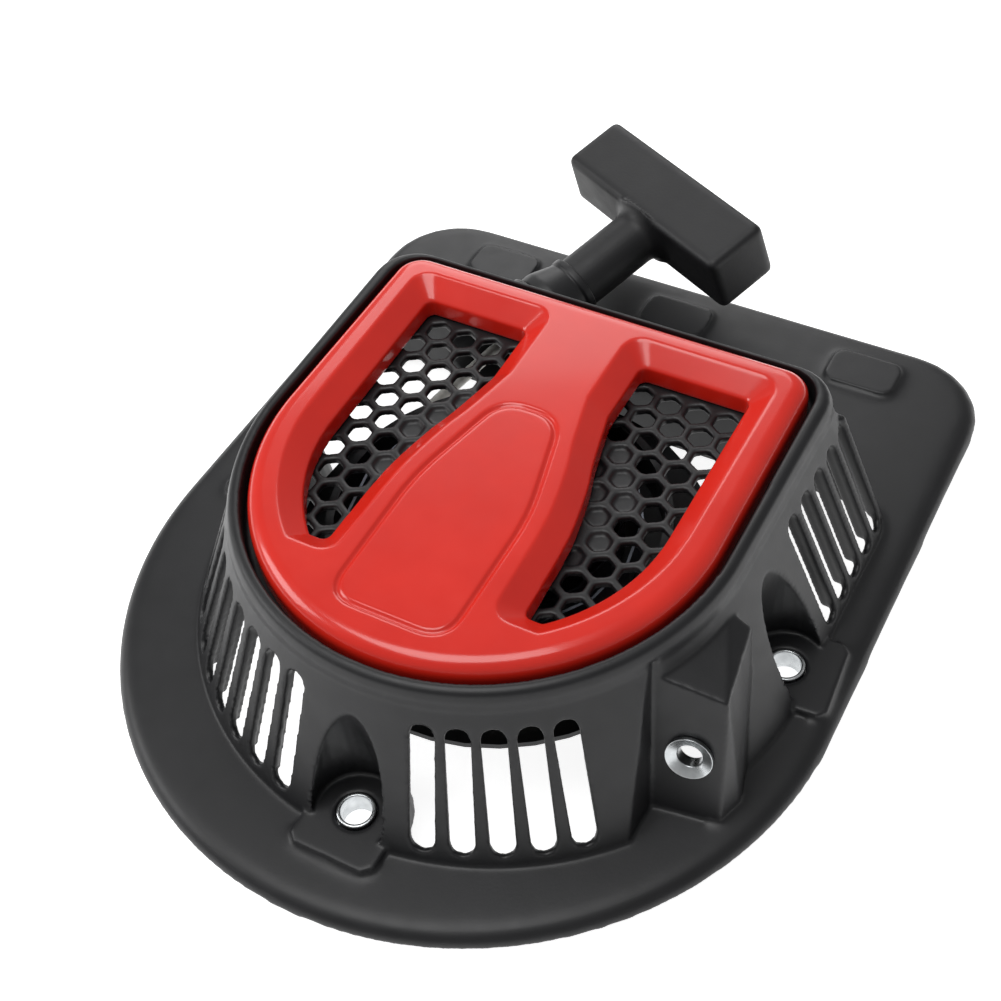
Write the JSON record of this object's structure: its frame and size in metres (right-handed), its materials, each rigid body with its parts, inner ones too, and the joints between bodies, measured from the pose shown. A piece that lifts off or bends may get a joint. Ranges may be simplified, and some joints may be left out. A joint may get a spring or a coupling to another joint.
{
  "type": "recoil_starter",
  "caption": "Pull-rope starter for a small engine: flanged, slotted blower housing with a windowed cover, a sprung rope reel underneath and a T-handle behind",
  "frame": {"origin": "under the middle of the assembly's box, in the plane of the flange's rim, which rests on the engine", "axes": "+Z away from the engine, along the reel's axis; +Y towards the pull handle, along the housing's straight sides; +X to the right seen with the handle away from the viewer"},
  "size_m": [0.2218, 0.2918, 0.0605],
  "materials": {
    "black_plastic": "satin",
    "red_plastic": "gloss",
    "black_rubber": "satin",
    "zinc_steel": "satin",
    "spring_steel": "satin",
    "bronze": "satin",
    "rope_white": "matte"
  },
  "bodies": {
    "housing": {"blower_housing": "black_plastic", "front_cover": "red_plastic", "cover_screw_1": "zinc_steel", "cover_screw_2": "zinc_steel", "cover_screw_3": "zinc_steel", "cover_screw_4": "zinc_steel", "mount_bush_front": "zinc_steel", "mount_bush_right": "zinc_steel", "mount_bush_left": "zinc_steel", "side_eyelet": "zinc_steel", "post_insert": "zinc_steel", "thrust_washer": "bronze", "retainer_disc": "zinc_steel", "clamp_bracket": "zinc_steel", "centre_bolt": "zinc_steel", "rope_guide": "black_plastic", "recoil_spring": "spring_steel", "rope_lead": "rope_white"},
    "reel": {"rope_reel": "black_plastic", "reel_bush": "bronze", "rope_winding": "rope_white", "reel_knot": "rope_white"},
    "handle": {"handle_grip": "black_rubber", "handle_knot": "rope_white", "knot_washer": "zinc_steel"}
  },
  "joints": [
    {"name": "handle_pull", "type": "slide", "parent": "housing", "child": "handle", "axis": [0.4186, 0.8776, 0.2334], "range_m": [0, 0.9], "stiffness_N_per_m": 22, "springref_m": -0.45, "deforming": ["rope_lead"]},
    {"name": "reel_spin", "type": "hinge", "parent": "housing", "child": "reel", "pos_m": [0.0046, -0.0275, 0.0193], "axis": [0, 0, 1], "range_deg": [-925, 0], "deforming": ["recoil_spring"]}
  ],
  "couplings": [
    {"joint": "reel_spin", "follows": "handle_pull", "rad_per_m": -17.857}
  ]
}
